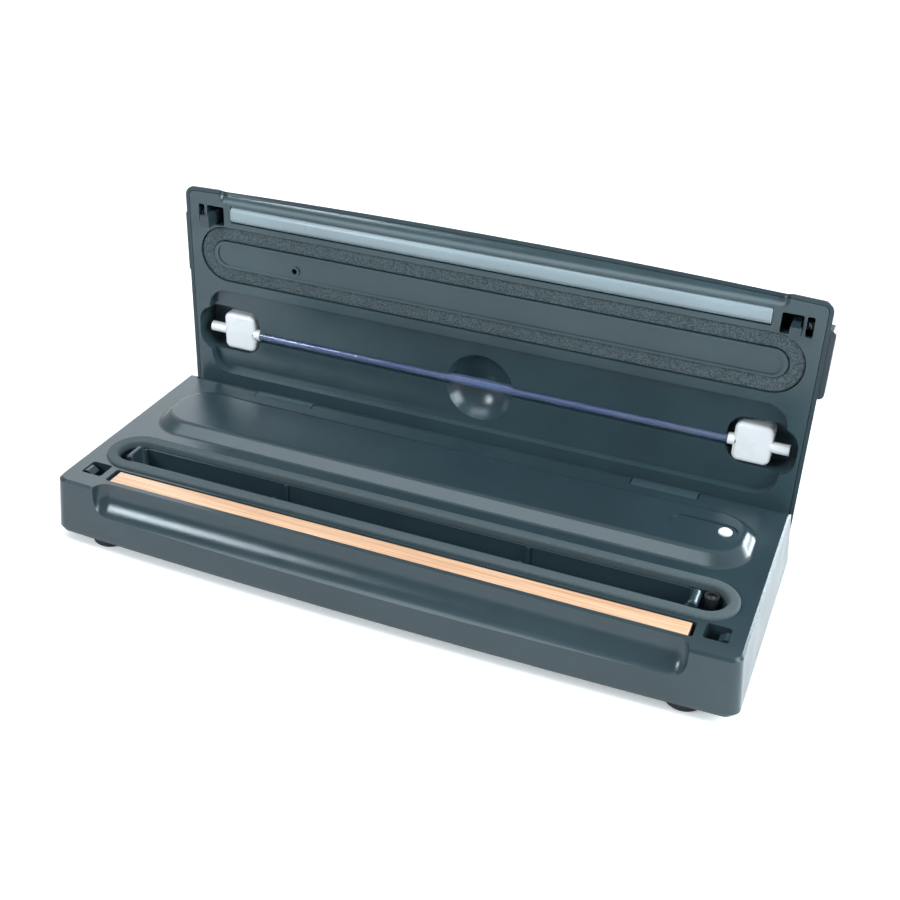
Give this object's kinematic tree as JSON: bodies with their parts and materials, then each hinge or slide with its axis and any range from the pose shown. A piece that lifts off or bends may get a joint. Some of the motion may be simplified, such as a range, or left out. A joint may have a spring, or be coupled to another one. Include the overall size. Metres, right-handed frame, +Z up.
{
  "type": "vacuum sealer",
  "caption": "Household vacuum sealer with a hinged lid, heated sealing bar, gasketed vacuum chamber with lift-out drip tray, side latches and an accessory hose kept in the lid.",
  "frame": {"origin": "on the table, under the middle of the open sealer's outline", "axes": "+X to the right seen from the front, +Y to the rear, +Z up; the lid is open at rest"},
  "size_m": [0.3872, 0.1794, 0.1627],
  "materials": {
    "board": "solder mask",
    "control": "satin",
    "core_steel": "laminated",
    "foam": "fine foam",
    "foot_rubber": "matt",
    "gasket_rubber": "soft",
    "heater": "ribbon",
    "hose": "clear",
    "housing": "satin moulded",
    "latch": "satin",
    "lens": "clear",
    "lid_shell": "satin moulded",
    "motor_steel": "plain",
    "panel": "satin moulded",
    "phenolic": "plain",
    "port_plastic": "plain",
    "pump": "plain",
    "silicone": "satin",
    "steel": "plain",
    "switch": "plain",
    "tape": "coated cloth",
    "tray": "satin moulded",
    "tube": "clear",
    "underside": "fine texture",
    "white_plastic": "satin",
    "winding": "taped"
  },
  "bodies": {
    "base": {"base_upper_housing": "housing", "base_lower_cover": "underside", "foot_front_left": "foot_rubber", "foot_front_right": "foot_rubber", "foot_rear_left": "foot_rubber", "foot_rear_right": "foot_rubber", "cover_screws": "steel", "sealing_bar": "phenolic", "heating_strip": "heater", "ptfe_tape": "tape", "lower_gasket": "gasket_rubber", "vacuum_port": "port_plastic", "port_elbow": "port_plastic", "vacuum_tube": "tube", "pump_body": "pump", "pump_motor": "motor_steel", "transformer_core": "core_steel", "transformer_coil": "winding", "power_board": "board", "microswitch_left": "switch", "microswitch_right": "switch", "power_gland": "foot_rubber", "hinge_pin_left": "steel", "hinge_pin_right": "steel", "round_switch": "switch"},
    "lid": {"lid_cover": "lid_shell", "lid_inner_panel": "panel", "upper_gasket": "foam", "silicone_strip": "silicone", "lid_board": "board", "indicator_lenses": "lens", "latch_spring_left": "steel", "latch_spring_right": "steel"},
    "tray": {"drip_tray": "tray"},
    "round_button": {"round_button": "white_plastic"},
    "seal_button": {"seal_button": "control"},
    "vacuum_button": {"vacuum_button": "control"},
    "stop_button": {"stop_button": "control"},
    "latch_left": {"latch_slider_left": "latch"},
    "latch_right": {"latch_slider_right": "latch"},
    "hose": {"vacuum_hose": "hose", "hose_connector_left": "white_plastic", "hose_connector_right": "white_plastic"}
  },
  "joints": [
    {"name": "lid_hinge", "type": "hinge", "parent": "base", "child": "lid", "pos_m": [0, 0.0495, 0.0284], "axis": [-1, 0, 0], "range_deg": [-90, 0]},
    {"name": "tray_lift", "type": "slide", "parent": "base", "child": "tray", "axis": [0, 0, 1], "range_m": [0, 0.06]},
    {"name": "hose_lift", "type": "slide", "parent": "lid", "child": "hose", "axis": [0, -1, 0], "range_m": [0, 0.03]},
    {"name": "round_button_press", "type": "slide", "parent": "base", "child": "round_button", "axis": [0, 0, -1], "range_m": [0, 0.0012], "stiffness_N_per_m": 400},
    {"name": "seal_button_press", "type": "slide", "parent": "lid", "child": "seal_button", "axis": [0, -1, 0], "range_m": [0, 0.001], "stiffness_N_per_m": 400},
    {"name": "vacuum_button_press", "type": "slide", "parent": "lid", "child": "vacuum_button", "axis": [0, -1, 0], "range_m": [0, 0.001], "stiffness_N_per_m": 400},
    {"name": "stop_button_press", "type": "slide", "parent": "lid", "child": "stop_button", "axis": [0, -1, 0], "range_m": [0, 0.001], "stiffness_N_per_m": 400},
    {"name": "latch_left_press", "type": "slide", "parent": "lid", "child": "latch_left", "axis": [1, 0, 0], "range_m": [0, 0.002], "stiffness_N_per_m": 600, "deforming": ["latch_spring_left"]},
    {"name": "latch_right_press", "type": "slide", "parent": "lid", "child": "latch_right", "axis": [-1, 0, 0], "range_m": [0, 0.002], "stiffness_N_per_m": 600, "deforming": ["latch_spring_right"]}
  ]
}
